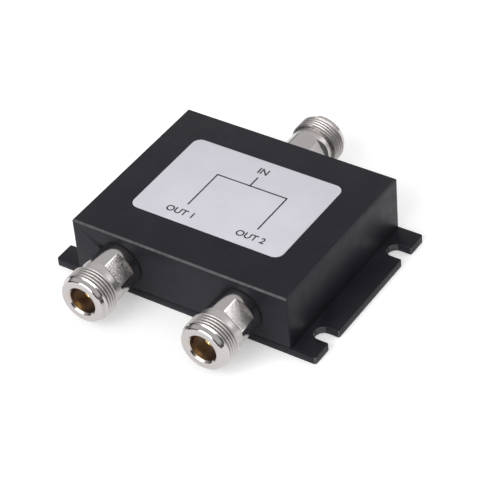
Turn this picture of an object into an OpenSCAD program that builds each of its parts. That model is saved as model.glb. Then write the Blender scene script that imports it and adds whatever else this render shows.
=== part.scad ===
// A two-way power splitter for coaxial lines: a milled housing on a flanged base plate,
// one input connector on the rear wall, two output connectors on the front wall,
// and a printed divider circuit in the closed pocket.
// Millimetres, +Z up, outputs towards -Y, underside of the plate on Z = 0.

/* [Housing] */
// Width of the housing, along the row of outputs
body_w = 74; // [68:0.5:90]
// Depth of the housing, from the output wall to the input wall
body_d = 60.8; // [57:0.1:75]
// Height of the housing above the base plate
body_h = 18.4; // [16.5:0.1:24]
// Wall of the pocket on the flange sides
side_wall = 5; // [4:0.1:7]
// Wall of the pocket that the connectors are screwed into
end_wall = 5; // [4:0.1:7]
// Radius that the milling cutter leaves in the corners of the pocket
cutter_r = 3; // [1:0.1:4]
// Chamfer along the top edges
top_chamfer = 0.5; // [0.3:0.05:1.2]
// Chamfer along the upright edges
side_chamfer = 0.35; // [0.1:0.05:1]
// Chamfer along the bottom edges, which shows as a seam above the plate
seam_chamfer = 0.25; // [0.1:0.05:0.6]

/* [Base plate] */
// Thickness of the base plate
plate_t = 2.4; // [1.8:0.1:4]
// How far a flange stands out beside the housing
flange = 8.3; // [8:0.1:14]
// Radius of the corners of the plate
plate_corner_r = 0.8; // [0.2:0.1:3]
// Width of a mounting slot
slot_w = 5.5; // [3:0.1:6.5]
// Depth of a mounting slot, from the outer edge of the flange
slot_depth = 6.3; // [4.5:0.1:7.5]
// Distance between the two slots of a flange
slot_pitch = 41; // [20:0.2:46]
// Rounding of the corners at the mouth of a slot
slot_mouth_r = 0.5; // [0.1:0.1:1]

/* [Plate screws] */
// Thread diameter of the screws that hold the plate
plate_screw_d = 2.5; // [2:0.1:3]
// Diameter of their countersunk heads
plate_screw_head_d = 4.6; // [4:0.1:5.4]
// Length of such a screw with its head
plate_screw_l = 8; // [5:0.5:10]
// How far the heads lie below the underside of the plate
plate_screw_sink = 0.1; // [0.05:0.05:0.4]

/* [Screw recess] */
// Length of the cross in a screw head
recess_l = 2.2; // [1.6:0.1:2.4]
// Width of the arms of the cross
recess_w = 0.5; // [0.3:0.05:0.7]
// Depth of the cross
recess_h = 0.8; // [0.4:0.05:0.9]

/* [Label] */
// Width of the label
label_w = 52; // [30:0.5:60]
// Depth of the label
label_d = 36; // [20:0.5:48]
// Thickness of the label
label_t = 0.15; // [0.1:0.05:0.5]
// Radius of the corners of the label
label_corner_r = 4; // [1:0.1:6]
// How far the middle of the label lies behind the middle of the housing
label_shift = 1.1; // [-4:0.1:4]

/* [Connectors] */
// Height of the connector axes above the base plate
axis_h = 8.2; // [7.6:0.05:10]
// Distance between the axes of the two outputs
output_pitch = 41.4; // [36:0.2:46]
// Length of a connector outside the housing
conn_l = 19.2; // [18:0.1:24]
// Diameter over the coupling thread
thread_d = 15.8; // [15.4:0.05:16.4]
// Length of the nose in front of the thread
nose_l = 2; // [1.7:0.1:3]
// Length of the lip at the front of the nose
lip_l = 1.55; // [1:0.05:1.6]
// Diameter at the rear of the lip, where the thread is turned down to it
lip_d = 14.9; // [14.7:0.05:15.3]
// Diameter at the front of the lip
lip_tip_d = 14.4; // [13.6:0.05:14.7]
// Chamfer around the flat face of the lip
lip_chamfer = 0.45; // [0.2:0.05:0.8]
// Diameter in the groove where the thread runs out
groove_d = 13.6; // [13.2:0.1:14]
// Width of the groove where the thread runs out
groove_w = 0.3; // [0.2:0.05:0.8]
// Diameter of the round barrel between the housing and the groove
barrel_d = 14.3; // [14:0.1:14.4]
// Length of the barrel, with the taper that leads to the groove
barrel_l = 11.7; // [11:0.1:12]
// Length of that taper
taper_l = 2.6; // [1:0.1:3]
// Distance across the two spanner flats of the barrel
flats_af = 12; // [11:0.1:13]
// Distance of the flats from the foot of the barrel
flats_at = 2.8; // [2:0.1:3.5]
// Length of the flats, without the slope that ends them
flats_l = 6.1; // [4:0.1:7]
// Diameter of the spigot in the wall of the housing
spigot_d = 12; // [11:0.1:12.5]
// Turn of the flats of the input
input_turn = 153; // [0:1:179]
// Turn of the flats of the first output
output_1_turn = 41; // [0:1:179]
// Turn of the flats of the second output
output_2_turn = 46; // [0:1:179]

/* [Connector mouth] */
// Diameter at the edge of the mouth
mouth_d = 9.7; // [9.2:0.1:10.4]
// Depth of the chamfer in the mouth
mouth_chamfer = 0.6; // [0.2:0.1:1.2]
// Bore that the mating connector plugs into
bore_d = 8.7; // [8.1:0.05:9]
// Depth of that bore, down to the insulator
bore_depth = 9.1; // [8:0.1:9.8]
// Diameter of the insulator
insulator_d = 7; // [6.4:0.1:7.4]
// Diameter of the centre contact
contact_d = 3.05; // [2.6:0.05:3.4]
// How far the tip of the contact lies behind the mouth
contact_recess = 3.7; // [3.2:0.1:5]
// Bore of the contact, for the pin of the mating connector
contact_bore_d = 1.65; // [1.4:0.05:1.8]
// Depth of the bore of the contact
contact_bore_depth = 5; // [4:0.1:6]
// Width of the slits in the contact
slit_w = 0.22; // [0.15:0.01:0.28]
// Length of the slits in the contact
slit_l = 3.5; // [2:0.1:4.5]
// Length of the thick part of the contact inside the insulator
contact_root = 3; // [2:0.1:5]
// Diameter of the solder pin at the rear of the contact
pin_d = 1.5; // [1:0.1:1.9]
// Length of the solder pin in the pocket
pin_l = 4; // [3:0.1:6]
// Thickness of the sealing ring at the foot of the barrel
seal_t = 0.3; // [0.2:0.05:0.6]
// Outer diameter of the sealing ring
seal_d = 14.5; // [13.5:0.1:15]

/* [Circuit] */
// Thickness of the circuit board
board_t = 1; // [0.6:0.05:1.6]
// Thickness of the copper track
track_t = 0.07; // [0.035:0.005:0.14]
// Width of the lines to the connectors
line_w = 2.6; // [1.8:0.1:3.4]
// Width of the arms of the divider
arm_w = 1.5; // [1:0.1:2]
// Mean radius of a divider ring
ring_r = 7; // [5.5:0.1:8]
// Gap between the two arms at the foot of a ring
arm_gap = 1.6; // [1:0.1:2]
// Length of the straight arms below a ring
neck_l = 3; // [2.5:0.1:4]
// Length of a chip resistor
resistor_l = 3.2; // [2.6:0.1:4]
// Width of a chip resistor
resistor_w = 1.6; // [1:0.1:2]
// Thickness of a chip resistor
resistor_t = 0.55; // [0.4:0.05:0.8]
// Thickness of the solder over a pin
solder_t = 0.5; // [0.2:0.05:0.8]
// Thread diameter of the screws that hold the board
board_screw_d = 2; // [1.6:0.1:2.5]
// Diameter of their pan heads
board_screw_head_d = 3.8; // [3:0.1:4.4]
// Height of their pan heads
board_screw_head_h = 1.3; // [0.8:0.1:1.8]
// Length of their shanks
board_screw_l = 5; // [4:0.5:6]
// Distance of these screws from the edges of the board
board_screw_inset = 3.5; // [3:0.1:5]

/* [Clearances] */
// Gap around a screw or a spigot in its hole
screw_gap = 0.05; // [0.02:0.01:0.1]
// Gap around an insulator, a contact or a soldered pin
seat_gap = 0.02; // [0.01:0.01:0.05]
// Gap between a solder pin and its track
pin_gap = 0.05; // [0.02:0.01:0.1]
// Gap between the board and the walls of the pocket
board_gap = 0.4; // [0.2:0.05:0.8]
// Gap at the inner end of a spigot
spigot_gap = 0.2; // [0.1:0.05:0.5]
// Room past the end of a screw in its blind hole
tap_gap = 0.6; // [0.3:0.1:1.5]

/* [Hidden] */
$fn = 96;

// A cut runs this far past the face that it opens
cut_over = 1;

plate_w = body_w + 2 * flange;
top_z = plate_t + body_h;
axis_z = plate_t + axis_h;
pocket_w = body_w - 2 * side_wall;
pocket_d = body_d - 2 * end_wall;

// Heights of the circuit, which hangs from the roof of the pocket with its track downwards
track_z = axis_z + pin_d / 2 + pin_gap;
board_z = track_z + track_t;
pocket_top = board_z + board_t;
board_w = pocket_w - 2 * board_gap;
board_d = pocket_d - 2 * board_gap;

// Places of the features of a connector along its own axis, from the housing outwards
flats_from = seal_t + flats_at;
flats_to = flats_from + flats_l;
groove_at = seal_t + barrel_l;
taper_at = groove_at - taper_l;
thread_at = groove_at + groove_w;
thread_end = conn_l - nose_l;
insulator_end = conn_l - bore_depth;
contact_tip = conn_l - contact_recess;
spigot_end = spigot_gap - end_wall;
pin_end = -end_wall - pin_l;

// Each connector: place across the housing, turn about Z, turn of the flats
INPUT = [0, 180, input_turn];
OUTPUT_1 = [-output_pitch / 2, 0, output_1_turn];
OUTPUT_2 = [output_pitch / 2, 0, output_2_turn];
CONNECTORS = [INPUT, OUTPUT_1, OUTPUT_2];

// Screws of the plate stand in the middle of the walls, clear of the connectors
wall_x = (body_w - side_wall) / 2;
wall_y = (body_d - end_wall) / 2;
PLATE_SCREWS = [
  [-wall_x, -wall_y], [wall_x, -wall_y], [-wall_x, wall_y], [wall_x, wall_y],
  [-wall_x, 0], [wall_x, 0], [0, -wall_y],
  [-output_pitch / 2, wall_y], [output_pitch / 2, wall_y]
];

// Screws of the board stand in two columns of three
BOARD_SCREWS = [
  for (sx = [-1, 1], sy = [-1, 0, 1])
    [sx * (board_w / 2 - board_screw_inset), sy * (board_d / 2 - board_screw_inset)]
];

// The two divider rings stand in a row, with their straight arms below them
ring_step = 2 * ring_r + neck_l;
RING_Y = [ring_step - ring_r, -ring_r];
NECK_Y = [for (y = RING_Y) y - ring_r - neck_l / 2];
line_y = RING_Y[1] - ring_r - neck_l;

// Rectangle around the origin with round corners
module round_rect(w, d, r) {
  square([w - 2 * r, d], center = true);
  square([w, d - 2 * r], center = true);
  for (sx = [-1, 1], sy = [-1, 1])
    translate([sx * (w / 2 - r), sy * (d / 2 - r)])
      circle(r);
}

// Rectangle of width w from 0 to h, with chamfers a at its foot and b at its head
module chamfered_rect(w, h, a, b) {
  polygon([
    [-w / 2 + a, 0], [w / 2 - a, 0], [w / 2, a], [w / 2, h - b],
    [w / 2 - b, h], [-w / 2 + b, h], [-w / 2, h - b], [-w / 2, a]
  ]);
}

// Block on Z = 0 with chamfered top, bottom and upright edges
module chamfered_block(w, d, h) {
  intersection() {
    translate([0, d / 2, 0])
      rotate([90, 0, 0])
        linear_extrude(d)
          chamfered_rect(w, h, seam_chamfer, top_chamfer);
    translate([-w / 2, 0, 0])
      rotate([90, 0, 90])
        linear_extrude(w)
          chamfered_rect(d, h, seam_chamfer, top_chamfer);
    translate([0, -d / 2, 0])
      linear_extrude(h)
        chamfered_rect(w, d, side_chamfer, side_chamfer);
  }
}

// Puts what is built along +Z on the axis of a connector, pointing out of the housing
module on_axis(connector) {
  rotate([0, 0, connector[1]])
    translate([connector[0], -body_d / 2, axis_z])
      rotate([90, 0, 0])
        children();
}

// Countersunk screw pointing up, wider by gap all round
module countersunk(gap) {
  r = plate_screw_d / 2 + gap;
  head_r = plate_screw_head_d / 2 + gap;
  translate([0, 0, plate_screw_sink]) {
    cylinder(h = head_r - r, r1 = head_r, r2 = r);
    cylinder(h = plate_screw_l, r = r);
  }
}

// Cross-shaped recess in the underside of a screw head
module cross_recess() {
  for (turn = [0, 90])
    rotate(turn)
      translate([-recess_l / 2, -recess_w / 2, -cut_over])
        cube([recess_l, recess_w, recess_h + cut_over]);
}

// Block milled from below, with bores for the connectors and tapped holes for the screws
module housing() {
  color("#232327")
    difference() {
      translate([0, 0, plate_t])
        chamfered_block(body_w, body_d, body_h);
      translate([0, 0, plate_t - cut_over])
        linear_extrude(pocket_top - plate_t + cut_over)
          round_rect(pocket_w, pocket_d, cutter_r);
      for (connector = CONNECTORS)
        on_axis(connector)
          translate([0, 0, -end_wall])
            cylinder(h = end_wall + cut_over, r = spigot_d / 2 + screw_gap);
      for (at = PLATE_SCREWS)
        translate([at[0], at[1], plate_t - cut_over])
          cylinder(
            h = plate_screw_sink + plate_screw_l + tap_gap - plate_t + cut_over,
            r = plate_screw_d / 2 + screw_gap
          );
      for (at = BOARD_SCREWS)
        translate([at[0], at[1], pocket_top - cut_over])
          cylinder(h = board_screw_l - board_t + tap_gap + cut_over, r = board_screw_d / 2 + screw_gap);
    }
}

// Open slot at the +X flange, with its mouth rounded off
module slot_plan() {
  edge = plate_w / 2;
  middle = edge - slot_depth + slot_w / 2;
  translate([middle, 0])
    circle(d = slot_w);
  translate([middle, -slot_w / 2])
    square([edge - middle + cut_over, slot_w]);
  for (s = [-1, 1])
    difference() {
      translate([edge - slot_mouth_r, s * slot_w / 2 - slot_mouth_r])
        square([slot_mouth_r + cut_over, 2 * slot_mouth_r]);
      translate([edge - slot_mouth_r, s * (slot_w / 2 + slot_mouth_r)])
        circle(slot_mouth_r);
    }
}

// Plate with a slotted flange on either side and countersunk holes
module base_plate() {
  color("#2b2b2f")
    difference() {
      linear_extrude(plate_t)
        difference() {
          round_rect(plate_w, body_d, plate_corner_r);
          for (side = [0, 180], s = [-1, 1])
            rotate(side)
              translate([0, s * slot_pitch / 2])
                slot_plan();
        }
      for (at = PLATE_SCREWS)
        translate([at[0], at[1], 0]) {
          countersunk(screw_gap);
          translate([0, 0, -cut_over])
            cylinder(h = plate_screw_sink + cut_over, r = plate_screw_head_d / 2 + screw_gap);
        }
    }
}

// Screws that hold the plate, put in from below
module base_plate_screws() {
  color("#3a3a3e")
    for (at = PLATE_SCREWS)
      translate([at[0], at[1], 0])
        difference() {
          countersunk(0);
          translate([0, 0, plate_screw_sink])
            cross_recess();
        }
}

// Printed label on the roof
module label() {
  color("#d3d1de")
    translate([0, label_shift, top_z])
      linear_extrude(label_t)
        round_rect(label_w, label_d, label_corner_r);
}

// Board of the divider circuit
module circuit_board() {
  color("#d9d3bf")
    translate([0, 0, board_z])
      linear_extrude(board_t)
        difference() {
          round_rect(board_w, board_d, cutter_r - board_gap);
          for (at = BOARD_SCREWS)
            translate(at)
              circle(board_screw_d / 2 + screw_gap);
        }
}

// Ring of the divider, open at its foot, and at its head too where split is true
module ring_plan(split) {
  outer = ring_r + arm_w / 2;
  difference() {
    circle(outer);
    circle(ring_r - arm_w / 2);
    translate([-arm_gap / 2, -outer - cut_over])
      square([arm_gap, outer + cut_over]);
    if (split)
      translate([-arm_gap / 2, 0])
        square([arm_gap, outer + cut_over]);
  }
}

// Track from the input line through two rings to the two output lines
module track_plan() {
  head_y = RING_Y[0] + ring_r;
  translate([-line_w / 2, head_y])
    square([line_w, board_d / 2 - head_y]);
  for (i = [0, 1])
    translate([0, RING_Y[i]])
      ring_plan(i > 0);
  for (s = [0, 1])
    mirror([s, 0]) {
      for (y = RING_Y)
        translate([arm_gap / 2, y - ring_r - neck_l])
          square([arm_w, neck_l]);
      translate([arm_gap / 2, line_y - line_w])
        square([(output_pitch + line_w - arm_gap) / 2, line_w]);
      translate([(output_pitch - line_w) / 2, -board_d / 2])
        square([line_w, line_y - line_w + board_d / 2]);
    }
}

// Copper on the lower face of the board
module copper_track() {
  color("#c98a4b")
    translate([0, 0, track_z])
      linear_extrude(track_t)
        track_plan();
}

// Chip resistor across the two arms below a ring
module isolation_resistor(i) {
  color("#2f2f33")
    translate([-resistor_l / 2, NECK_Y[i] - resistor_w / 2, track_z - resistor_t])
      cube([resistor_l, resistor_w, resistor_t]);
}

// Screws that hold the board to the roof of the pocket
module board_screws() {
  color("#b8b8bb")
    for (at = BOARD_SCREWS)
      translate([at[0], at[1], board_z - board_screw_head_h])
        difference() {
          union() {
            cylinder(h = board_screw_head_h, d = board_screw_head_d);
            cylinder(h = board_screw_head_h + board_screw_l, d = board_screw_d);
          }
          cross_recess();
        }
}

// Turned outline of a connector
module turned_profile() {
  shell_r = insulator_d / 2 + seat_gap;
  polygon([
    [shell_r, spigot_end], [spigot_d / 2, spigot_end], [spigot_d / 2, seal_t],
    [barrel_d / 2, seal_t], [barrel_d / 2, taper_at],
    [groove_d / 2, groove_at], [groove_d / 2, thread_at],
    [thread_d / 2, thread_at], [thread_d / 2, thread_end],
    [lip_d / 2, conn_l - lip_l], [lip_tip_d / 2, conn_l - lip_chamfer],
    [lip_tip_d / 2 - lip_chamfer, conn_l],
    [mouth_d / 2, conn_l], [bore_d / 2, conn_l - mouth_chamfer],
    [bore_d / 2, insulator_end], [shell_r, insulator_end]
  ]);
}

// What is milled off a barrel for its two spanner flats
module flat_cuts(turn) {
  deep = (barrel_d - flats_af) / 2 + cut_over;
  for (side = [0, 180])
    rotate(turn + side)
      translate([0, barrel_d / 2, 0])
        rotate([90, 0, 0])
          linear_extrude(barrel_d)
            polygon([
              [flats_af / 2, flats_from], [flats_af / 2 + deep, flats_from],
              [flats_af / 2 + deep, flats_to + deep], [flats_af / 2, flats_to]
            ]);
}

// Metal body of a connector
module connector_body(connector) {
  color("#b9b4ae")
    on_axis(connector)
      difference() {
        rotate_extrude()
          turned_profile();
        flat_cuts(connector[2]);
      }
}

// Rubber ring between the barrel and the wall
module connector_seal(connector) {
  color("#101012")
    on_axis(connector)
      difference() {
        cylinder(h = seal_t, d = seal_d);
        translate([0, 0, -cut_over])
          cylinder(h = seal_t + 2 * cut_over, r = spigot_d / 2 + screw_gap);
      }
}

// White bush that carries the contact in the middle of the body
module connector_insulator(connector) {
  color("#efece4")
    on_axis(connector)
      difference() {
        translate([0, 0, spigot_end])
          cylinder(h = insulator_end - spigot_end, d = insulator_d);
        translate([0, 0, insulator_end - contact_root])
          cylinder(h = contact_root + cut_over, r = contact_d / 2 + seat_gap);
        translate([0, 0, spigot_end - cut_over])
          cylinder(h = insulator_end - spigot_end, r = pin_d / 2 + seat_gap);
      }
}

// Slit socket for the mating pin, with a solder pin at its rear
module connector_contact(connector) {
  root = insulator_end - contact_root;
  color("#d8b04a")
    on_axis(connector) {
      translate([0, 0, pin_end])
        cylinder(h = root - pin_end, d = pin_d);
      difference() {
        translate([0, 0, root])
          cylinder(h = contact_tip - root, d = contact_d);
        translate([0, 0, contact_tip - contact_bore_depth])
          cylinder(h = contact_bore_depth + cut_over, d = contact_bore_d);
        for (turn = [0, 90])
          rotate(turn)
            translate([-contact_d, -slit_w / 2, contact_tip - slit_l])
              cube([2 * contact_d, slit_w, slit_l + cut_over]);
      }
    }
}

// Solder that joins a pin to its track, with a hollow for the pin
module connector_solder(connector) {
  r = pin_d / 2 + solder_t;
  rise = track_z - axis_z;
  l = pin_l - board_gap;
  color("#c9cacc")
    on_axis(connector)
      translate([0, 0, pin_end])
        difference() {
          intersection() {
            union() {
              cylinder(h = l, r1 = pin_d / 2, r2 = r);
              linear_extrude(l)
                polygon([[-pin_d / 2, 0], [pin_d / 2, 0], [line_w / 2, rise], [-line_w / 2, rise]]);
            }
            translate([-line_w, -r, 0])
              cube([2 * line_w, r + rise, l]);
          }
          translate([0, 0, -cut_over])
            cylinder(h = l + 2 * cut_over, r = pin_d / 2 + seat_gap);
        }
}

housing();
base_plate();
base_plate_screws();
label();
circuit_board();
copper_track();
isolation_resistor(0);  // isolation_resistor_1
isolation_resistor(1);  // isolation_resistor_2
board_screws();
connector_body(INPUT);  // input_body
connector_seal(INPUT);  // input_seal
connector_insulator(INPUT);  // input_insulator
connector_contact(INPUT);  // input_contact
connector_solder(INPUT);  // input_solder
connector_body(OUTPUT_1);  // output_1_body
connector_seal(OUTPUT_1);  // output_1_seal
connector_insulator(OUTPUT_1);  // output_1_insulator
connector_contact(OUTPUT_1);  // output_1_contact
connector_solder(OUTPUT_1);  // output_1_solder
connector_body(OUTPUT_2);  // output_2_body
connector_seal(OUTPUT_2);  // output_2_seal
connector_insulator(OUTPUT_2);  // output_2_insulator
connector_contact(OUTPUT_2);  // output_2_contact
connector_solder(OUTPUT_2);  // output_2_solder
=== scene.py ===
# %% [markdown]
# # A power splitter for coaxial lines
# A small black metal box takes one cable at its rear and feeds two cables at its front.
# Its solids come from a imported CAD part, in metres, with +Z up and the outputs towards -Y.
# This lesson dresses that part: it gives each solid a finish, and makes anew the pieces whose
# fine shape a solid model leaves out, such as turned threads, screw recesses and print.

# %% Load the solids
import math

import bmesh
import bpy
from mathutils import Matrix, Vector


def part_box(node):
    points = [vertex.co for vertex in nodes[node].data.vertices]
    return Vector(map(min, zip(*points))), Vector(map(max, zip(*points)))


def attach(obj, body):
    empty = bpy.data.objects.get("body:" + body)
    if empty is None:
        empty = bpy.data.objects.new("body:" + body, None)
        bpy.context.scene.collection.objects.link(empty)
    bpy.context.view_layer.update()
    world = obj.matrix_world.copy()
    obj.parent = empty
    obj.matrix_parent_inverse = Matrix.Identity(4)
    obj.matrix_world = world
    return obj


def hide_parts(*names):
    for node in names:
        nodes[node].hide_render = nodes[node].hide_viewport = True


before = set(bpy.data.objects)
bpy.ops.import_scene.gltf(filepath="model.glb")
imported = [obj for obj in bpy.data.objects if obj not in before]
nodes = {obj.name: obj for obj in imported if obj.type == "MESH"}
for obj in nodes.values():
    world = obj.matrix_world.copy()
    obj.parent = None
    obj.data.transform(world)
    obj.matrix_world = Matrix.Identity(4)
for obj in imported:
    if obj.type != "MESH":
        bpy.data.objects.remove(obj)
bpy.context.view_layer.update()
scene = bpy.context.scene
MM = 0.001

# %% [markdown]
# ## Camera
# The picture was taken from the front right, about 40 degrees up, with a long lens from about
# 65 cm away and a slight roll. A camera could be aimed with a constraint, but a plain matrix
# holds the roll too, so the three axes of the camera are written down from the angles.

# %% Camera
def aim(azimuth, elevation, roll, distance, target):
    a, e, r = (math.radians(v) for v in (azimuth, elevation, roll))
    back = Vector((math.sin(a) * math.cos(e), -math.cos(a) * math.cos(e), math.sin(e)))
    level = Vector((math.cos(a), math.sin(a), 0))
    rise = back.cross(level)
    right = level * math.cos(r) + rise * math.sin(r)
    up = rise * math.cos(r) - level * math.sin(r)
    place = Matrix((right, up, back)).transposed().to_4x4()
    place.translation = Vector(target) + back * distance
    return place

camera = bpy.data.objects.new("camera", bpy.data.cameras.new("camera"))
scene.collection.objects.link(camera)
camera.matrix_world = aim(36.64, 39.87, -5.46, 0.65006, (-0.00324, 0.00503, 0))
camera.data.sensor_width = 36
camera.data.lens = 162.67
camera.data.clip_start = 0.05
scene.camera = camera
print("camera at", [round(v, 3) for v in camera.location])

# %% [markdown]
# ## Light
# Black paint and nickel show what is around them more than their own colour, so the studio
# matters. A pale sky that darkens towards the horizon and towards the front gives the metal its
# contrast. A wide soft lamp in front opens the shadows, and a smaller one behind on the right
# draws highlights on the threads.

# %% Sky
SKY = ((0.02, 0.03), (0.20, 0.18), (0.44, 0.71))
scene.view_settings.view_transform = "Standard"
world = bpy.data.worlds.new("studio")
scene.world = world
world.use_nodes = True
sky = world.node_tree
direction = sky.nodes.new("ShaderNodeTexCoord")
height = sky.nodes.new("ShaderNodeVectorMath")
height.operation = "DOT_PRODUCT"
height.inputs[1].default_value = (0, 0.3, 1)
fade = sky.nodes.new("ShaderNodeValToRGB")
fade.color_ramp.elements.new(0.5)
for stop, (position, level) in zip(fade.color_ramp.elements, SKY):
    stop.position = position
    stop.color = (level, level, level * 1.01, 1)
sky.links.new(direction.outputs["Generated"], height.inputs[0])
sky.links.new(height.outputs["Value"], fade.inputs["Fac"])
sky.links.new(fade.outputs["Color"], sky.nodes["Background"].inputs["Color"])
print("sky levels:", [level for position, level in SKY])

# %% Lamps
def soft_lamp(name, place, size, power):
    data = bpy.data.lights.new(name, "AREA")
    data.shape = "DISK"
    data.size = size
    data.energy = power
    lamp = bpy.data.objects.new(name, data)
    lamp.location = place
    lamp.rotation_euler = (-Vector(place)).to_track_quat("-Z", "Y").to_euler()
    scene.collection.objects.link(lamp)
    return lamp

soft_lamp("lamp_rear_right", (0.60, 0.62, 0.50), 0.50, 1.6)
soft_lamp("lamp_front", (-0.10, -0.84, 0.50), 0.90, 7.2)

# %% [markdown]
# ## Floor
# The floor is white paper. It could be made white by more light, but then the part would be
# too bright. So it glows a little, only for rays from the camera, from mirrors and through
# glass: it stays white in the picture, lights nothing, and still keeps the shadow of the box.

# %% Floor
FLOOR, BELOW = 6.0, -1e-4
paper = bpy.data.materials.new("paper_floor")
paper.use_nodes = True
tree = paper.node_tree
sheet = tree.nodes["Principled BSDF"]
sheet.inputs["Base Color"].default_value = (0.86, 0.86, 0.86, 1)
sheet.inputs["Roughness"].default_value = 0.9
sheet.inputs["Specular IOR Level"].default_value = 0.1
path = tree.nodes.new("ShaderNodeLightPath")
seen = tree.nodes.new("ShaderNodeMath")
seen.operation = "MAXIMUM"
tree.links.new(path.outputs["Is Camera Ray"], seen.inputs[0])
tree.links.new(path.outputs["Is Glossy Ray"], seen.inputs[1])
through = tree.nodes.new("ShaderNodeMath")
through.operation = "MAXIMUM"
tree.links.new(seen.outputs[0], through.inputs[0])
tree.links.new(path.outputs["Is Transmission Ray"], through.inputs[1])
lift = tree.nodes.new("ShaderNodeMath")
lift.operation = "MULTIPLY"
lift.inputs[1].default_value = 0.33
tree.links.new(through.outputs[0], lift.inputs[0])
sheet.inputs["Emission Color"].default_value = (1, 1, 1, 1)
tree.links.new(lift.outputs[0], sheet.inputs["Emission Strength"])

floor_mesh = bpy.data.meshes.new("floor")
corners = [(x * FLOOR, y * FLOOR, BELOW) for x, y in ((-1, -1), (1, -1), (1, 1), (-1, 1))]
floor_mesh.from_pydata(corners, [], [(0, 1, 2, 3)])
floor = bpy.data.objects.new("floor", floor_mesh)
floor_mesh.materials.append(paper)
scene.collection.objects.link(floor)
print("floor:", 2 * FLOOR, "m wide")

# %% [markdown]
# ## Helpers for finishes
# A finish is a node material on one Principled shader. Every pattern is laid in Object
# coordinates, which are the metres of the part, so a scale of 2000 means grains of half a
# millimetre. Numbers that are the same all over go straight onto the shader's own sockets.

# %% Helpers for finishes
class Finish:
    def __init__(self, name, colour, roughness, metallic=0.0, **sockets):
        self.material = bpy.data.materials.new(name)
        self.material.use_nodes = True
        self.tree = self.material.node_tree
        self.shader = self.tree.nodes["Principled BSDF"]
        self.shader.inputs["Base Color"].default_value = (*colour, 1)
        self.shader.inputs["Roughness"].default_value = roughness
        self.shader.inputs["Metallic"].default_value = metallic
        for socket, value in sockets.items():
            self.shader.inputs[socket.replace("_", " ")].default_value = value
        self.place = self.add("ShaderNodeTexCoord").outputs["Object"]

    def add(self, kind, settings=None, **inputs):
        node = self.tree.nodes.new(kind)
        for key, value in (settings or {}).items():
            setattr(node, key, value)
        for key, value in inputs.items():
            self.feed(node.inputs[key], value)
        return node

    def feed(self, socket, value):
        if isinstance(value, bpy.types.NodeSocket):
            self.tree.links.new(value, socket)
        else:
            socket.default_value = value

    def math(self, operation, *values):
        node = self.add("ShaderNodeMath", {"operation": operation})
        for socket, value in zip(node.inputs, values):
            self.feed(socket, value)
        return node.outputs[0]

    def noise(self, scale, detail=2.0, stretch=None):
        place = self.place
        if stretch:
            place = self.add("ShaderNodeMapping", Vector=place, Scale=stretch).outputs[0]
        return self.add("ShaderNodeTexNoise", Vector=place, Scale=scale, Detail=detail).outputs["Fac"]

    def ramp(self, factor, *stops):
        node = self.add("ShaderNodeValToRGB", Fac=factor)
        points = node.color_ramp.elements
        while len(points) < len(stops):
            points.new(0.5)
        for point, (position, colour) in zip(points, stops):
            point.position = position
            point.color = (*colour, 1) if not isinstance(colour, float) else (colour, colour, colour, 1)
        return node.outputs["Color"]

    def blend(self, factor, a, b):
        node = self.add("ShaderNodeMix", {"data_type": "RGBA"})
        for socket, value in ((node.inputs["Factor"], factor), (node.inputs[6], a), (node.inputs[7], b)):
            self.feed(socket, value if isinstance(value, (bpy.types.NodeSocket, float)) else (*value, 1))
        return node.outputs[2]

    def mask(self, name):
        return self.add("ShaderNodeAttribute", {"attribute_name": name}).outputs["Fac"]

    def bump(self, height, strength, depth):
        node = self.add("ShaderNodeBump", Height=height, Strength=strength, Distance=depth)
        self.feed(self.shader.inputs["Normal"], node.outputs["Normal"])

    def set(self, **sockets):
        for socket, value in sockets.items():
            self.feed(self.shader.inputs[socket.replace("_", " ")], value)

print("finish helper ready")

# %% [markdown]
# ## Black finish
# Housing and plate carry a thin satin black coat. It isn't one flat black: the coat is finely
# grained, a little cloudy, and it holds a few pale specks of dust. Its edges are painted grey,
# partly where the coat is rubbed thin and partly as a painted highlight: full on the roof's front
# and rear edges and on the flange, faint on the roof's side edges. A mask named "edge", painted
# on the mesh, says where the edges are. The coat's own colour is very dark; its sheen mirrors
# the pale floor, so the walls look lighter towards the roof and darker above the flange.

# %% Black finish
# Grey of the edges, which is rubbed coat and painted highlight, and of the dust specks.
EDGE_AND_DUST_GREY = (0.11, 0.11, 0.115)
black = Finish("black_coat", (0.0125, 0.0122, 0.0165), 0.41,
               Specular_IOR_Level=0.2, Specular_Tint=(0.93, 0.91, 1.0, 1.0))
cloud = black.noise(90, 3)
grain = black.noise(3800, 2)
coat = black.ramp(cloud, (0.3, (0.0106, 0.0103, 0.0141)), (0.75, (0.0146, 0.0142, 0.0194)))
mottle = black.ramp(black.noise(900, 3), (0.3, 0.55), (0.7, 1.0))
# Edges rubbed thin plus a painted highlight: the coat turns grey where the edge mask says.
worn_and_highlit = black.math("MULTIPLY", black.mask("edge"), mottle)
coat = black.blend(worn_and_highlit, coat, EDGE_AND_DUST_GREY)
dust = black.ramp(black.noise(900, 1), (0.82, 0.0), (0.85, 1.0))
coat = black.blend(dust, coat, EDGE_AND_DUST_GREY)
black.set(Base_Color=coat, Roughness=black.ramp(black.noise(260, 4), (0.3, 0.38), (0.7, 0.49)))
black.bump(grain, 0.25, 0.00002)
print("made", black.material.name)
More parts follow.
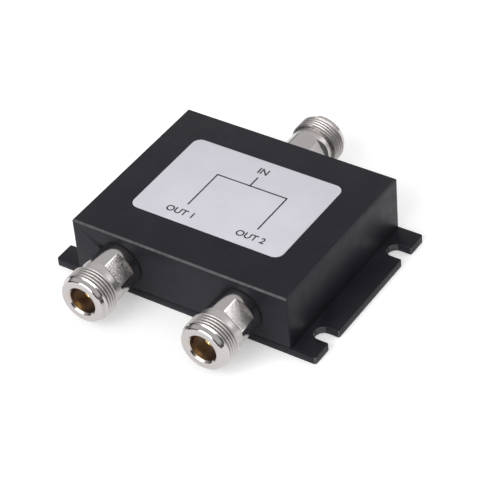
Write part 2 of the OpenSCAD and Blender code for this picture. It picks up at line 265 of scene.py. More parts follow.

# %% [markdown]
# ## Metals
# The connector bodies are brass under satin nickel: warm grey, with fine rings from the lathe
# around the axis, which lies along Y, and a slight tarnish. The contacts are gold over brass.
# The rings are a noise that is stretched out around the axis and squeezed along it. Masks on
# the mesh say where the surface differs: "valley" in the thread, where a darker colour is painted
# shade in the grooves, "bore" in the mouth, where brass shows through, "polish" on lip and
# barrel, which mirror more sharply, and "pitted" on the flats, where the milled metal left the
# plating grainy.

# %% Metals
nickel = Finish("satin_nickel", (0.56, 0.54, 0.51), 0.27, 1.0)
rings = nickel.noise(1.0, 2, stretch=(500, 14000, 500))
tarnish = nickel.noise(420, 3)
skin = nickel.ramp(tarnish, (0.3, (0.56, 0.53, 0.517)), (0.7, (0.615, 0.585, 0.573)))
skin = nickel.blend(nickel.math("MULTIPLY", nickel.mask("polish"), 0.8), skin, (0.51, 0.485, 0.475))
pits = nickel.ramp(nickel.noise(2100, 2), (0.47, 0.0), (0.58, 1.0))
skin = nickel.blend(nickel.math("MULTIPLY", nickel.mask("pitted"), pits), skin, (0.13, 0.125, 0.12))
# Painted shade: the thread's grooves are darkened by the valley mask.
skin = nickel.blend(nickel.mask("valley"), skin, (0.19, 0.175, 0.168))
nickel.set(Base_Color=nickel.blend(nickel.mask("bore"), skin, (0.50, 0.40, 0.34)))
satin = nickel.ramp(nickel.noise(500, 2), (0.3, 0.36), (0.75, 0.42))
smooth = nickel.blend(nickel.mask("polish"), satin, (0.08, 0.08, 0.08))
nickel.set(Roughness=nickel.blend(nickel.mask("bore"), smooth, (0.28, 0.28, 0.28)))
rough = nickel.math("MULTIPLY", nickel.noise(2600, 3), 90.0)
nickel.bump(nickel.blend(nickel.mask("pitted"), rings, rough), 0.05, 0.00001)

gold = Finish("gold_plate", (0.92, 0.68, 0.28), 0.3, 1.0)
gold.set(Base_Color=gold.ramp(gold.noise(1500, 2), (0.3, (0.88, 0.63, 0.24)), (0.7, (0.95, 0.73, 0.34))))
gold.set(Roughness=gold.ramp(gold.noise(2600, 3), (0.3, 0.16), (0.7, 0.27)))
gold.bump(gold.noise(1.0, 2, stretch=(900, 9000, 900)), 0.1, 0.00001)

steel = Finish("plain_steel", (0.50, 0.50, 0.52), 0.3, 1.0)
steel.set(Base_Color=steel.ramp(steel.noise(1200, 3), (0.3, (0.42, 0.42, 0.44)), (0.7, (0.56, 0.56, 0.58))))
steel.set(Roughness=steel.ramp(steel.noise(2400, 2), (0.3, 0.24), (0.7, 0.40)))

dark_steel = Finish("blackened_steel", (0.04, 0.04, 0.043), 0.38, 0.6)
patina = dark_steel.noise(1400, 3)
dark_steel.set(Base_Color=dark_steel.ramp(patina, (0.35, (0.022, 0.022, 0.024)), (0.75, (0.065, 0.065, 0.07))))
dark_steel.set(Roughness=dark_steel.ramp(dark_steel.noise(2600, 2), (0.3, 0.30), (0.7, 0.48)))

copper = Finish("rolled_copper", (0.62, 0.28, 0.12), 0.32, 1.0)
copper.set(Base_Color=copper.ramp(copper.noise(500, 4), (0.3, (0.52, 0.22, 0.09)), (0.7, (0.70, 0.34, 0.16))))
copper.set(Roughness=copper.ramp(copper.noise(1.0, 3, stretch=(300, 6000, 300)), (0.3, 0.26), (0.7, 0.42)))

tin = Finish("solder_tin", (0.55, 0.56, 0.58), 0.3, 1.0)
tin.set(Base_Color=tin.ramp(tin.noise(900, 3), (0.3, (0.45, 0.46, 0.48)), (0.7, (0.64, 0.65, 0.67))))
tin.set(Roughness=tin.ramp(tin.noise(1800, 3), (0.3, 0.2), (0.7, 0.45)))
tin.bump(tin.noise(1500, 2), 0.3, 0.00004)
print("made", [f.material.name for f in (nickel, gold, steel, dark_steel, copper, tin)])

# %% [markdown]
# ## Film, ink, rubber and the materials inside
# The label is a matt plastic film, pale with a cold tint, and its print is a dark ink. The
# insulators are white fluoroplastic, the sealing rings black rubber. The circuit board is a
# woven laminate, which a brick-like weave of two waves suggests, and a chip resistor has a
# black body with tinned caps, which a mask by distance from the middle gives.

# %% Film, ink, rubber and the materials inside
film = Finish("label_film", (0.62, 0.605, 0.70), 0.5, Specular_IOR_Level=0.35)
film.set(Base_Color=film.ramp(film.noise(120, 4), (0.3, (0.605, 0.595, 0.645)), (0.7, (0.645, 0.635, 0.685))))
film.set(Roughness=film.ramp(film.noise(700, 3), (0.3, 0.45), (0.7, 0.6)))
film.bump(film.noise(2800, 2), 0.12, 0.00001)

ink = Finish("printing_ink", (0.02, 0.02, 0.026), 0.55)
ink.set(Base_Color=ink.ramp(ink.noise(2500, 3), (0.3, (0.016, 0.016, 0.022)), (0.75, (0.045, 0.044, 0.055))))

rubber = Finish("seal_rubber", (0.006, 0.006, 0.0065), 0.7, Specular_IOR_Level=0.3)
rubber.set(Base_Color=rubber.ramp(rubber.noise(900, 3), (0.3, (0.004, 0.004, 0.0045)), (0.7, (0.010, 0.010, 0.011))))
rubber.bump(rubber.noise(3000, 2), 0.2, 0.00002)

bush = Finish("white_bush", (0.80, 0.77, 0.70), 0.42, Subsurface_Weight=0.15)
bush.set(Base_Color=bush.ramp(bush.noise(700, 2), (0.3, (0.76, 0.73, 0.65)), (0.7, (0.84, 0.81, 0.74))))
bush.set(Roughness=bush.ramp(bush.noise(1600, 2), (0.3, 0.36), (0.7, 0.5)))

laminate = Finish("woven_laminate", (0.66, 0.62, 0.47), 0.5)
threads = [laminate.add("ShaderNodeTexWave", {"bands_direction": way}, Vector=laminate.place,
                        Scale=350.0, Distortion=1.0).outputs["Fac"] for way in "XY"]
weave = laminate.math("MAXIMUM", *threads)
laminate.set(Base_Color=laminate.ramp(weave, (0.2, (0.58, 0.53, 0.38)), (0.9, (0.69, 0.65, 0.51))))
laminate.bump(weave, 0.15, 0.00002)

CAP_FROM = 1.15 * MM
chip = Finish("chip_resistor", (0.02, 0.02, 0.022), 0.4)
chip_x = chip.add("ShaderNodeSeparateXYZ", Vector=chip.place).outputs["X"]
cap = chip.math("GREATER_THAN", chip.math("ABSOLUTE", chip_x), CAP_FROM)
glaze = chip.ramp(chip.noise(2500, 2), (0.3, 0.015), (0.7, 0.03))
chip.set(Base_Color=chip.blend(cap, glaze, (0.55, 0.56, 0.58)), Metallic=cap)
print("made", [f.material.name for f in (film, ink, rubber, bush, laminate, chip)])

# %% [markdown]
# ## Housing and base plate
# The real housing is milled from a block, and the plate is cut from sheet; both were deburred
# before they were coated. The solids already have the right form, so a merged copy of each is
# taken and only its outer edges are softened with a narrow bevel. A bevel by angle would also
# catch every screw hole, so the outer edges are picked by where they lie and get a weight.

# %% Helpers for pieces
def as_piece(name, work, mesh=None):
    mesh = mesh or bpy.data.meshes.new(name)
    work.to_mesh(mesh)
    work.free()
    piece = bpy.data.objects.new(name, mesh)
    scene.collection.objects.link(piece)
    return piece

def join_loops(work, loops):
    for a, b in zip(loops, loops[1:]):
        for i in range(len(a)):
            work.faces.new((a[i - 1], a[i], b[i], b[i - 1]))

def polar(r, t, u):
    return r * math.cos(t) * MM, r * math.sin(t) * MM, u * MM

def merged_copy(node, name):
    mesh = nodes[node].data.copy()
    mesh.name = name
    mesh.materials.clear()
    work = bmesh.new()
    work.from_mesh(mesh)
    bmesh.ops.remove_doubles(work, verts=work.verts, dist=2e-6)
    bmesh.ops.dissolve_limit(work, angle_limit=math.radians(0.4), verts=work.verts, edges=work.edges)
    return as_piece(name, work, mesh)

def shade(piece, finish, angle=30):
    piece.data.materials.clear()
    piece.data.materials.append(finish.material)
    piece.data.polygons.foreach_set("use_smooth", [True] * len(piece.data.polygons))
    piece.data.polygons.foreach_set("material_index", [0] * len(piece.data.polygons))
    piece.data.set_sharp_from_angle(angle=math.radians(angle))

def hand_in(piece, slot, *stands_for):
    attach(piece, "root")
    if stands_for:
        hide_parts(*stands_for)
    print(piece.name, len(piece.data.polygons), "faces")

def made_plain(piece):
    graph = bpy.context.evaluated_depsgraph_get()
    mesh = bpy.data.meshes.new_from_object(piece.evaluated_get(graph))
    old = piece.data
    piece.modifiers.clear()
    piece.data = mesh
    bpy.data.meshes.remove(old)
    mesh.name = piece.name

print("helpers for pieces ready")

# %% Soften the outer edges
def soften(piece, width, is_outer):
    piece.data.attributes.new("bevel_weight_edge", "FLOAT", "EDGE")
    work = bmesh.new()
    work.from_mesh(piece.data)
    layer = work.edges.layers.float["bevel_weight_edge"]
    count = 0
    for e in work.edges:
        bent = len(e.link_faces) == 2 and e.calc_face_angle() > math.radians(20)
        if bent and all(is_outer(v.co) for v in e.verts):
            e[layer] = 1.0
            count += 1
    work.to_mesh(piece.data)
    work.free()
    bevel = piece.modifiers.new("soft_edges", "BEVEL")
    bevel.width = width
    bevel.segments = 2
    bevel.limit_method = "WEIGHT"
    made_plain(piece)
    return count

house_low, house_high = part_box("housing")
def on_housing_outside(p):
    gaps = [abs(p.x) - house_high.x, abs(p.y) - house_high.y, p.z - house_high.z]
    sides = sum(g > -0.55 * MM for g in gaps) + (p.z < house_low.z + 0.3 * MM)
    return sides >= 2

housing = merged_copy("housing", "housing_shell")
print("soft edges on the housing:", soften(housing, 0.12 * MM, on_housing_outside))

plate_low, plate_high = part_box("base_plate")
def on_plate_outline(p):
    level = min(abs(p.z - plate_low.z), abs(p.z - plate_high.z)) < 0.01 * MM
    return level and (abs(p.x) > house_high.x + 1.5 * MM or abs(p.y) > plate_high.y - 0.9 * MM)

plate = merged_copy("base_plate", "slotted_plate")
print("soft edges on the plate:", soften(plate, 0.18 * MM, on_plate_outline))

# %% Paint the edge mask
def paint_edges(piece, edge_level):
    mask = piece.data.attributes.new("edge", "FLOAT", "FACE")
    mask.data.foreach_set("value", [edge_level(f) for f in piece.data.polygons])

def slanted(face):
    return max(abs(v) for v in face.normal) < 0.97

# Roof edges: rubbed coat and a painted highlight, full on the front and rear edges, faint on the side edges.
def roof_wear_and_highlight(face):
    if not slanted(face) or face.center.z < house_high.z - 0.7 * MM:
        return 0.0
    return 0.15 if abs(face.normal.x) > abs(face.normal.y) else 1.0

# Flange edges: rubbed coat and a painted highlight on the outer edges.
def flange_wear_and_highlight(face):
    return 1.0 if slanted(face) and abs(face.center.x) > house_high.x else 0.0

paint_edges(housing, roof_wear_and_highlight)
paint_edges(plate, flange_wear_and_highlight)
shade(housing, black)
shade(plate, black)
hand_in(housing, "black_finish", "housing")
hand_in(plate, "black_finish", "base_plate")

# %% [markdown]
# ## Label
# A film with round corners, stuck on the roof. Print that stands above it would leave the box
# of the solids, so the film is made a little thinner than its solid, and the ink fills the
# difference. Its corners are tighter than the solid's, as the picture shows them. The rim of
# the film is rounded by two narrow steps, which catch the light.

# %% Label
def corner_path(w, d, r, steps=12):
    points = []
    for k, (sx, sy) in enumerate(((1, 1), (-1, 1), (-1, -1), (1, -1))):
        for i in range(steps + 1):
            t = math.radians(90 * (k + i / steps))
            points.append((sx * (w / 2 - r) + r * math.cos(t), sy * (d / 2 - r) + r * math.sin(t)))
    return points

def stacked(name, rings):
    work = bmesh.new()
    loops = [[work.verts.new(p) for p in ring] for ring in rings]
    join_loops(work, loops)
    work.faces.new(list(reversed(loops[0])))
    work.faces.new(loops[-1])
    bmesh.ops.recalc_face_normals(work, faces=work.faces)
    return as_piece(name, work)

film_low, film_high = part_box("label")
film_w, film_d = film_high.x - film_low.x, film_high.y - film_low.y
film_mid = (film_low + film_high) / 2
INK, FILM_CORNER = 0.02 * MM, 2.8 * MM
film_top = film_high.z - INK

def film_ring(inset, z):
    points = corner_path(film_w - 2 * inset, film_d - 2 * inset, FILM_CORNER - inset)
    return [(film_mid.x + x, film_mid.y + y, z) for x, y in points]

label = stacked("label_film", [
    film_ring(0, film_low.z), film_ring(0, film_top - 0.06 * MM),
    film_ring(0.02 * MM, film_top - 0.02 * MM), film_ring(0.07 * MM, film_top)])
shade(label, film)
hand_in(label, "label_film", "label")

# %% [markdown]
# ## Print
# The print is generic: marks for the ports and a line drawing of a divider between them. Each
# mark is a thin slab of ink. Letters start as text objects, which become meshes before they
# are moved, and the lines of the drawing are flat bars with round ends.

# %% Letters and bars
def letters(words, size, x, y):
    curve = bpy.data.curves.new("print", "FONT")
    curve.body = words
    curve.size = size * MM
    curve.align_x = "CENTER"
    curve.extrude = INK / 2
    curve.offset = 0.07 * MM
    text = bpy.data.objects.new("print", curve)
    scene.collection.objects.link(text)
    graph = bpy.context.evaluated_depsgraph_get()
    mesh = bpy.data.meshes.new_from_object(text.evaluated_get(graph))
    bpy.data.objects.remove(text)
    bpy.data.curves.remove(curve)
    mesh.transform(Matrix.Translation((x * MM, y * MM, film_high.z - INK / 2)))
    return mesh

def bar(start, end):
    (x0, y0), (x1, y1) = [[v * MM for v in point] for point in (start, end)]
    heading = math.atan2(y1 - y0, x1 - x0)
    half_turn = [heading + math.radians(t) for t in range(-90, 91, 30)]
    r = LINE / 2
    rim = [(x1 + r * math.cos(t), y1 + r * math.sin(t)) for t in half_turn]
    rim += [(x0 - r * math.cos(t), y0 - r * math.sin(t)) for t in half_turn]
    work = bmesh.new()
    bottom = [work.verts.new((x, y, film_top)) for x, y in rim]
    top = [work.verts.new((x, y, film_high.z)) for x, y in rim]
    work.faces.new(top)
    work.faces.new(list(reversed(bottom)))
    join_loops(work, [bottom, top])
    bmesh.ops.recalc_face_normals(work, faces=work.faces)
    mesh = bpy.data.meshes.new("print")
    work.to_mesh(mesh)
    work.free()
    return mesh

def joined(name, meshes):
    work = bmesh.new()
    for mesh in meshes:
        work.from_mesh(mesh)
        bpy.data.meshes.remove(mesh)
    return as_piece(name, work)

print("print helpers ready")

# %% Print on the label
LINE = 0.5 * MM
IN_X, OUT_1_X, OUT_2_X = 0.8, -10.6, 13.6
FORK, IN_END, OUT_END = 7.0, 11.2, -8.6
prints = joined("label_print", [
    letters("IN", 3.6, IN_X, 13.2),
    letters("OUT 1", 3.4, OUT_1_X, -13.6),
    letters("OUT 2", 3.4, OUT_2_X, -13.6),
    bar((IN_X, IN_END), (IN_X, FORK)),
    bar((OUT_1_X, FORK), (OUT_2_X, FORK)),
    bar((OUT_1_X, FORK), (OUT_1_X, OUT_END)),
    bar((OUT_2_X, FORK), (OUT_2_X, OUT_END)),
])
shade(prints, ink)
hand_in(prints, "label_film")

# %% [markdown]
# ## Connectors
# A connector is turned from brass bar: spigot, barrel, a taper down to a groove, coupling thread
# and a lip with a narrow chamfer. Then two flats are milled on the barrel for the spanner; the
# cutter leaves a square wall at their foot and a slope towards the thread. It could be cut with
# booleans, but they leave ragged edges that shade badly. Here all but the thread is one loop of
# rings around the axis. On the flats a ring isn't round: its radius follows the plane, and on
# the slope its height does too. The loop is closed through the bore, so the piece has no pole.
# The three differ by place, by how far the flats are turned and by how pitted they are.

# %% Rings of a connector
AROUND = 120
BARREL, FLAT = 7.15, 6.0
FLATS_FROM, FLATS_TO = 3.1, 9.2
TAPER_FROM, TAPER_TO, GROOVE = 9.4, 12.0, 6.8
THREAD_FROM, THREAD_TO = 12.3, 17.2
THREAD_ROOT, THREAD_CREST = 7.25, 7.9
SPIGOT, SPIGOT_END, BORE, BORE_END, PIN_BORE = 6.0, -4.8, 4.35, 10.1, 3.52

def across(i):
    return abs(math.cos(2 * math.pi * i / AROUND))

def flat_ring(u):
    return [(min(BARREL, FLAT / max(across(i), 0.1)), u) for i in range(AROUND)]

def on_taper(u):
    return BARREL - (BARREL - GROOVE) * max(0.0, u - TAPER_FROM) / (TAPER_TO - TAPER_FROM)

def slope_ring(at_least=0.0):
    steep = (BARREL - GROOVE) / (TAPER_TO - TAPER_FROM)
    ring = []
    for i in range(AROUND):
        u = FLATS_TO + max(0.0, BARREL * across(i) - FLAT)
        u = min(u, TAPER_FROM) + max(0.0, u - TAPER_FROM) / (1 + steep * across(i))
        u = max(u, at_least)
        ring.append((on_taper(u), u))
    return ring

def round_ring(r, u):
    return [(r, u)] * AROUND

def fillet(before, corner, after, radius, steps):
    a, c, b = Vector(before), Vector(corner), Vector(after)
    to_a, to_b = (a - c).normalized(), (b - c).normalized()
    half = to_a.angle(to_b) / 2
    reach = radius / math.tan(half)
    middle = c + (to_a + to_b).normalized() * (radius / math.sin(half))
    start, end = c + to_a * reach, c + to_b * reach
    out = []
    for k in range(steps + 1):
        p = start.lerp(end, k / steps)
        out.append(tuple(middle + (p - middle).normalized() * radius))
    return out

print("points on a ring:", AROUND)

# %% Profile of a connector
REAR = [(PIN_BORE, SPIGOT_END), (SPIGOT - 0.15, SPIGOT_END), (SPIGOT, SPIGOT_END + 0.15), (SPIGOT, 0.3),
        (BARREL - 0.15, 0.3), (BARREL, 0.45), (BARREL, FLATS_FROM)]
FRONT = [(GROOVE, TAPER_TO), (GROOVE, THREAD_FROM), (THREAD_ROOT, THREAD_FROM)]
LIP = [(THREAD_CREST, THREAD_TO), (7.45, 17.65), (7.16, 18.92), (6.88, 19.2), (4.85, 19.2), (BORE, 18.6)]
NOSE = LIP[:1]
for k, (radius, steps) in enumerate(((0.15, 3), (0.1, 2), (0.1, 2), (0.12, 3))):
    NOSE += fillet(*LIP[k:k + 3], radius, steps)
NOSE += LIP[-1:] + [(BORE, BORE_END), (PIN_BORE, BORE_END), (PIN_BORE, SPIGOT_END)]
print("rings on a connector:", len(REAR) + 5 + len(FRONT) + len(NOSE))

# %% Turned body with its masks
def turned_body(name, turn, pitting):
    back = [round_ring(*p) for p in REAR] + [flat_ring(FLATS_FROM), flat_ring(FLATS_TO), slope_ring()]
    back += [slope_ring(TAPER_FROM), slope_ring(TAPER_FROM + 0.1)] + [round_ring(*p) for p in FRONT]
    front = [round_ring(*p) for p in NOSE]
    work = bmesh.new()
    bore = work.verts.layers.float.new("bore")
    polish = work.verts.layers.float.new("polish")
    pitted = work.verts.layers.float.new("pitted")
    for rings in (back, front):
        loops = []
        for ring in rings:
            loop = []
            for i, (r, u) in enumerate(ring):
                v = work.verts.new(polar(r, math.radians(turn + 360 / AROUND * i), u))
                full_round = r > BARREL - 0.01
                v[bore] = 1.0 if r < BORE + 0.05 and u > BORE_END - 0.1 else 0.0
                v[polish] = 1.0 if u > THREAD_TO + 0.1 else 0.75 if full_round and u <= TAPER_FROM else 0.0
                v[pitted] = pitting if FLATS_FROM <= u <= FLATS_TO and not full_round else 0.0
                loop.append(v)
            loops.append(loop)
        join_loops(work, loops)
    bmesh.ops.remove_doubles(work, verts=work.verts, dist=1e-7)
    return as_piece(name, work)

print("turned body ready")

# %% [markdown]
# ## Coupling thread
# The thread is a ridge that climbs by one pitch in each turn. It could be a swept helix, but a
# swept ridge never joins the body cleanly. Here Geometry Nodes lay a flat grid around the axis:
# its columns are angles, and each of its rows follows the helix, so the ridge stays sharp. Rows
# that would run past an end are held at that end, where the doubles are merged and the thread
# closes with the rings of the body. Pitch, radii and ends are inputs of the tree.

# %% A small kit for node trees
class Tree:
    def __init__(self, name, inputs):
        self.group = bpy.data.node_groups.new(name, "GeometryNodeTree")
        face = self.group.interface
        face.new_socket("Geometry", in_out="INPUT", socket_type="NodeSocketGeometry")
        self.keys = {}
        for given_name, kind in inputs.items():
            self.keys[given_name] = face.new_socket(given_name, in_out="INPUT", socket_type=kind).identifier
        face.new_socket("Geometry", in_out="OUTPUT", socket_type="NodeSocketGeometry")
        self.given = self.group.nodes.new("NodeGroupInput").outputs
        self.result = self.group.nodes.new("NodeGroupOutput").inputs

    def add(self, kind, settings=None, **inputs):
        node = self.group.nodes.new(kind)
        for key, value in (settings or {}).items():
            setattr(node, key, value)
        for key, value in inputs.items():
            self.feed(node.inputs[key.replace("_", " ")], value)
        return node

    def feed(self, socket, value):
        if isinstance(value, bpy.types.NodeSocket):
            self.group.links.new(value, socket)
        else:
            socket.default_value = value

    def math(self, operation, *values):
        node = self.add("ShaderNodeMath", {"operation": operation})
        for socket, value in zip(node.inputs, values):
            self.feed(socket, value)
        return node.outputs[0]

    def held(self, value, low, high):
        return self.math("MINIMUM", self.math("MAXIMUM", value, low), high)

    def ramp(self, value, start, end):
        node = self.add("ShaderNodeMapRange", {"interpolation_type": "SMOOTHSTEP"})
        for socket, v in zip(node.inputs, (value, start, end, 0.0, 1.0)):
            self.feed(socket, v)
        return node.outputs[0]

    def finish(self, geometry, finish):
        plain = self.add("GeometryNodeRealizeInstances", Geometry=geometry)
        dressed = self.add("GeometryNodeSetMaterial", Geometry=plain.outputs[0], Material=finish)
        self.feed(self.result["Geometry"], dressed.outputs[0])

    def run(self, piece, **values):
        modifier = piece.modifiers.new(self.group.name, "NODES")
        modifier.node_group = self.group
        for name, value in values.items():
            modifier[self.keys[name.replace("_", " ")]] = value
        made_plain(piece)

print("kit for node trees ready")

# %% Tree of the coupling thread
thread = Tree("coupling_thread", {
    "Pitch": "NodeSocketFloat", "Crest radius": "NodeSocketFloat", "Root radius": "NodeSocketFloat",
    "Start": "NodeSocketFloat", "Length": "NodeSocketFloat", "Run out": "NodeSocketFloat",
    "Turn": "NodeSocketFloat", "Columns": "NodeSocketInt", "Rows per turn": "NodeSocketInt",
    "Finish": "NodeSocketMaterial"})
given = thread.given
per_turn = given["Rows per turn"]
turns = thread.math("ADD", thread.math("DIVIDE", given["Length"], given["Pitch"]), 1.0)
last_row = thread.math("CEIL", thread.math("MULTIPLY", turns, per_turn))
net = thread.add("GeometryNodeMeshGrid", Size_X=1.0, Size_Y=1.0,
                 Vertices_X=thread.math("ADD", given["Columns"], 1.0),
                 Vertices_Y=thread.math("ADD", last_row, 1.0))
spot = thread.add("ShaderNodeSeparateXYZ", Vector=thread.add("GeometryNodeInputPosition").outputs[0])
round_part = thread.math("ADD", spot.outputs["X"], 0.5)
row = thread.math("ROUND", thread.math("MULTIPLY", thread.math("ADD", spot.outputs["Y"], 0.5), last_row))
climb = thread.math("ADD", thread.math("DIVIDE", row, per_turn), thread.math("SUBTRACT", round_part, 1.0))
along = thread.held(thread.math("MULTIPLY", climb, given["Pitch"]), 0.0, given["Length"])
phase = thread.math("FRACT", thread.math("DIVIDE", thread.math("ADD", row, 0.001), per_turn))
to_and_fro = thread.math("ABSOLUTE", thread.math("SUBTRACT", thread.math("MULTIPLY", phase, 2.0), 1.0))
wave = thread.math("SUBTRACT", 1.0, to_and_fro)
ridge = thread.held(thread.math("MULTIPLY", thread.math("SUBTRACT", wave, 0.12), 1.32), 0.0, 1.0)
ridge = thread.math("MULTIPLY", ridge, thread.ramp(along, 0.0, given["Run out"]))
nose_side = thread.ramp(along, thread.math("SUBTRACT", given["Length"], given["Run out"]), given["Length"])
ridge = thread.math("MAXIMUM", ridge, nose_side)
depth = thread.math("SUBTRACT", given["Crest radius"], given["Root radius"])
radius = thread.math("ADD", given["Root radius"], thread.math("MULTIPLY", depth, ridge))
angle = thread.math("ADD", thread.math("MULTIPLY", round_part, 2 * math.pi), given["Turn"])
point = thread.add("ShaderNodeCombineXYZ", X=thread.math("MULTIPLY", radius, thread.math("COSINE", angle)),
                   Y=thread.math("MULTIPLY", radius, thread.math("SINE", angle)),
                   Z=thread.math("ADD", along, given["Start"]))
bent = thread.add("GeometryNodeSetPosition", Geometry=net.outputs["Mesh"], Position=point.outputs[0])
both = thread.add("GeometryNodeJoinGeometry")
thread.feed(both.inputs[0], bent.outputs[0])
thread.feed(both.inputs[0], given["Geometry"])
welded = thread.add("GeometryNodeMergeByDistance", Geometry=both.outputs[0], Distance=1e-6)
thread.finish(welded.outputs[0], given["Finish"])
print("inputs of the thread:", list(thread.keys))

# %% Three connectors
WALL, AXIS, OUT_X = 30.4, 10.6, 20.7
PLACES = {"input": (0.0, 180, 153), "output_1": (-OUT_X, 0, 41), "output_2": (OUT_X, 0, 46)}
PITTING = {"input": 0.2, "output_1": 0.7, "output_2": 0.35}

def on_axis(port):
    x, side, turn = PLACES[port]
    tipped = Matrix.Rotation(math.radians(90), 4, "X")
    on_front = Matrix.Translation((x * MM, -WALL * MM, AXIS * MM))
    return Matrix.Rotation(math.radians(side), 4, "Z") @ on_front @ tipped

def outward(piece):
    work = bmesh.new()
    work.from_mesh(piece.data)
    bmesh.ops.recalc_face_normals(work, faces=work.faces)
    open_edges = sum(len(e.link_faces) != 2 for e in work.edges)
    work.to_mesh(piece.data)
    work.free()
    return open_edges

# The valley mask is painted shade: it grows with depth below the crest, so the grooves come out dark.
def paint_valleys(body):
    depths = []
    for v in body.data.vertices:
        r, u = v.co.xy.length / MM, v.co.z / MM
        in_thread = THREAD_FROM - 0.01 < u < THREAD_TO and r > THREAD_ROOT - 0.01
        depths.append(((THREAD_CREST - r) / (THREAD_CREST - THREAD_ROOT)) ** 2 if in_thread else 0.0)
    body.data.attributes.new("valley", "FLOAT", "POINT").data.foreach_set("value", depths)

for port, (x, side, turn) in PLACES.items():
    body = turned_body(port + "_turned_body", turn, PITTING[port])
    thread.run(body, Pitch=25.4 / 24 * MM, Crest_radius=THREAD_CREST * MM, Root_radius=THREAD_ROOT * MM,
               Start=THREAD_FROM * MM, Length=(THREAD_TO - THREAD_FROM) * MM, Run_out=0.3 * MM,
               Turn=math.radians(turn), Columns=AROUND, Rows_per_turn=12, Finish=nickel.material)
    print(port, "open edges:", outward(body))
    paint_valleys(body)
    body.data.transform(on_axis(port))
    shade(body, nickel, 28)
    hand_in(body, "nickel_plate", port + "_body")

# %% [markdown]
# ## Seals, insulators and contacts
# A rubber ring is squeezed between barrel and wall, so its outer side bulges. The bush and the
# slit contact keep the form of their solids; merged copies take smooth shading, which the loose
# triangles of a solid can't. Only the rim of the contact's tip is rounded, so that it glints.

# %% Seals, insulators and contacts
def squeezed_ring(name, inner, outer, thick):
    half = thick / 2
    arc = [math.radians(a) for a in range(-90, 91, 30)]
    bulge = [(outer - half + half * math.cos(t), half + half * math.sin(t)) for t in arc]
    profile = [(inner, 0)] + bulge + [(inner, thick)]
    turns = [2 * math.pi * i / AROUND for i in range(AROUND)]
    work = bmesh.new()
    loops = [[work.verts.new(polar(r, t, u)) for t in turns] for r, u in profile]
    join_loops(work, loops + loops[:1])
    bmesh.ops.recalc_face_normals(work, faces=work.faces)
    return as_piece(name, work)

TIP_FROM, TIP_EDGE = 15.4, 1.45
def on_tip(p, port):
    off_axis = math.hypot(p.x - PLACES[port][0] * MM, p.z - AXIS * MM)
    return abs(p.y) > (WALL + TIP_FROM) * MM and off_axis > TIP_EDGE * MM

for port in PLACES:
    seal = squeezed_ring(port + "_rubber_ring", 6.05, 7.25, 0.3)
    seal.data.transform(on_axis(port))
    shade(seal, rubber, 50)
    hand_in(seal, "seal_rubber", port + "_seal")
    for kind, finish, slot in (("insulator", bush, "white_insulator"), ("contact", gold, "gold_plate")):
        piece = merged_copy(port + "_" + kind, port + "_" + kind + "_smooth")
        if kind == "contact":
            print("round edges on a contact:", soften(piece, 0.25 * MM, lambda p: on_tip(p, port)))
        shade(piece, finish, 35)
        hand_in(piece, slot, port + "_" + kind)

# %% [markdown]
# ## Plate screws
# Countersunk screws with a cross recess hold the plate from below. One screw is modelled as
# rings: head, cone and shank, and a recess whose outline is a cross. Geometry Nodes then set
# one on each place, turned at random as screws end up, with a fixed seed.

# %% One countersunk screw
def cross_outline(t, arm, half):
    c, s = abs(math.cos(t)) + 1e-9, abs(math.sin(t)) + 1e-9
    return max(min(arm / c, half / s), min(arm / s, half / c))

AROUND_SCREW = 96
RECESS = ((0.60, 0.16, 0.9), (1.1, 0.25, 0.1))
SCREW = ((2.22, 0.1), (2.3, 0.16), (1.25, 1.15), (1.25, 7.85), (1.0, 8.1))

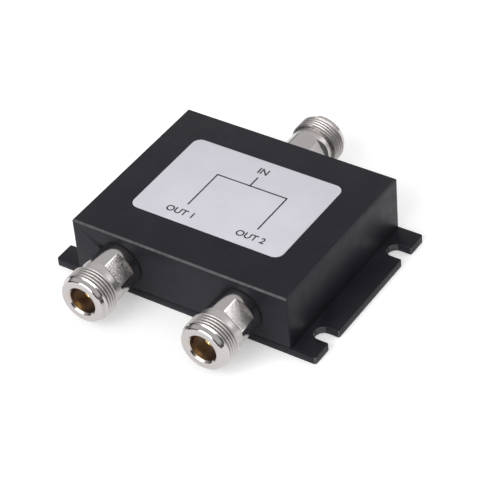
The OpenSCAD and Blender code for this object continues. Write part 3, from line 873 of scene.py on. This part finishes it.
def countersunk_screw():
    turns = [2 * math.pi * i / AROUND_SCREW for i in range(AROUND_SCREW)]
    rings = [[(cross_outline(t, arm, half), z) for t in turns] for arm, half, z in RECESS]
    rings += [[point] * AROUND_SCREW for point in SCREW]
    work = bmesh.new()
    loops = [[work.verts.new(polar(r, t, z)) for t, (r, z) in zip(turns, ring)] for ring in rings]
    join_loops(work, loops)
    work.faces.new(loops[0])
    work.faces.new(loops[-1])
    bmesh.ops.recalc_face_normals(work, faces=work.faces)
    return as_piece("one_screw", work)

screw = countersunk_screw()
print("faces on a screw:", len(screw.data.polygons))

# %% Tree that sets the screws
SCREW_X, SCREW_Y = 34.5, 27.9
screws = Tree("screws_on_points", {
    "Screw": "NodeSocketObject", "Seed": "NodeSocketInt", "Finish": "NodeSocketMaterial"})
given = screws.given
shape = screws.add("GeometryNodeObjectInfo", Object=given["Screw"], As_Instance=True)
chance = screws.add("FunctionNodeRandomValue", {"data_type": "FLOAT"}, Seed=given["Seed"])
screws.feed(chance.inputs[2], 0.0)
screws.feed(chance.inputs[3], 2 * math.pi)
spin = screws.add("ShaderNodeCombineXYZ", Z=chance.outputs[1])
placed = screws.add("GeometryNodeInstanceOnPoints", Points=given["Geometry"],
                    Instance=shape.outputs["Geometry"], Rotation=spin.outputs[0])
screws.finish(placed.outputs[0], given["Finish"])

spots = [(sx * SCREW_X, sy * SCREW_Y) for sx in (-1, 1) for sy in (-1, 1)]
spots += [(-SCREW_X, 0), (SCREW_X, 0), (0, -SCREW_Y), (-OUT_X, SCREW_Y), (OUT_X, SCREW_Y)]
spot_mesh = bpy.data.meshes.new("plate_screw_set")
spot_mesh.from_pydata([(x * MM, y * MM, 0) for x, y in spots], [], [])
plate_screws = bpy.data.objects.new("plate_screw_set", spot_mesh)
scene.collection.objects.link(plate_screws)
screws.run(plate_screws, Screw=screw, Seed=4, Finish=dark_steel.material)
bpy.data.objects.remove(screw)
shade(plate_screws, dark_steel, 30)
hand_in(plate_screws, "black_steel", "base_plate_screws")

# %% [markdown]
# ## What the housing hides
# Board, track, resistors, solder and board screws are closed in. Their solids have the right
# shapes, so they stay as they are and only get their finishes.

# %% Finishes for the hidden solids
hidden = {"circuit_board": laminate, "copper_track": copper, "board_screws": steel,
          "isolation_resistor_1": chip, "isolation_resistor_2": chip,
          "input_solder": tin, "output_1_solder": tin, "output_2_solder": tin}
for node, finish in hidden.items():
    nodes[node].data.materials.clear()
    nodes[node].data.materials.append(finish.material)
print("dressed:", sorted(hidden))
